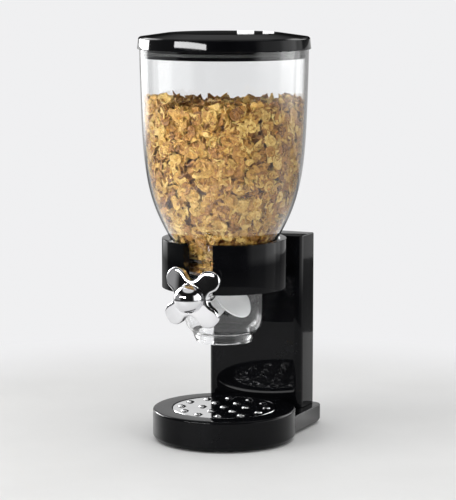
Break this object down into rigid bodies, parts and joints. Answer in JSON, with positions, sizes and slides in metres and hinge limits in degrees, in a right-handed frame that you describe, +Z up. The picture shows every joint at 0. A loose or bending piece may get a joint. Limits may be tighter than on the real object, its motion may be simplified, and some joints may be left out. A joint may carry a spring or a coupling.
{
  "type": "cereal dispenser",
  "caption": "Countertop dry-food dispenser: clear hopper canister in a black column stand, with a turn-knob paddle wheel, spout cup and lift-out crumb tray.",
  "frame": {"origin": "middle of the footprint box, on the counter under the feet", "axes": "+Z up along the canister, -Y towards the knob at the front, +X to the right when the knob is faced; X is the width"},
  "size_m": [0.1666, 0.2028, 0.395],
  "materials": {
    "gloss_black": "gloss",
    "satin_black": "satin",
    "clear_plastic": "clear",
    "mirror_chrome": "polished",
    "steel": "satin",
    "white_silicone": "satin",
    "white_plastic": "satin",
    "black_rubber": "matte"
  },
  "bodies": {
    "stand": {"base_shell": "gloss_black", "base_plate": "satin_black", "base_plate_screw_1": "steel", "base_plate_screw_2": "steel", "base_plate_screw_3": "steel", "base_plate_screw_4": "steel", "foot_front_left": "black_rubber", "foot_front_right": "black_rubber", "foot_rear_left": "black_rubber", "foot_rear_right": "black_rubber", "column_shell": "gloss_black", "rear_cover": "satin_black", "column_screw_1": "steel", "column_screw_2": "steel", "column_screw_3": "steel", "column_screw_4": "steel", "rear_cover_screw_1": "steel", "rear_cover_screw_2": "steel", "rear_cover_screw_3": "steel", "rear_cover_screw_4": "steel", "collar": "gloss_black", "collar_screw_1": "steel", "collar_screw_2": "steel", "collar_screw_3": "steel", "collar_screw_4": "steel"},
    "tray": {"crumb_tray": "mirror_chrome"},
    "hopper": {"canister": "clear_plastic", "spout_cup": "clear_plastic", "shaft_bush": "white_plastic"},
    "lid": {"lid_cap": "gloss_black", "lid_plug": "satin_black", "lid_seal": "black_rubber"},
    "metering_wheel": {"drive_shaft": "steel", "wheel_core": "white_plastic", "paddle_wheel": "white_silicone", "knob": "mirror_chrome", "knob_dome": "mirror_chrome"}
  },
  "joints": [
    {"name": "canister_lift", "type": "slide", "parent": "stand", "child": "hopper", "axis": [0, 0, 1], "range_m": [0, 0.12]},
    {"name": "lid_lift", "type": "slide", "parent": "hopper", "child": "lid", "axis": [0, 0, 1], "range_m": [0, 0.04]},
    {"name": "paddle_spin", "type": "hinge", "parent": "hopper", "child": "metering_wheel", "pos_m": [0, -0.0081, 0.1494], "axis": [0, -1, 0], "continuous": true},
    {"name": "tray_lift", "type": "slide", "parent": "stand", "child": "tray", "axis": [0, 0, 1], "range_m": [0, 0.05]}
  ]
}
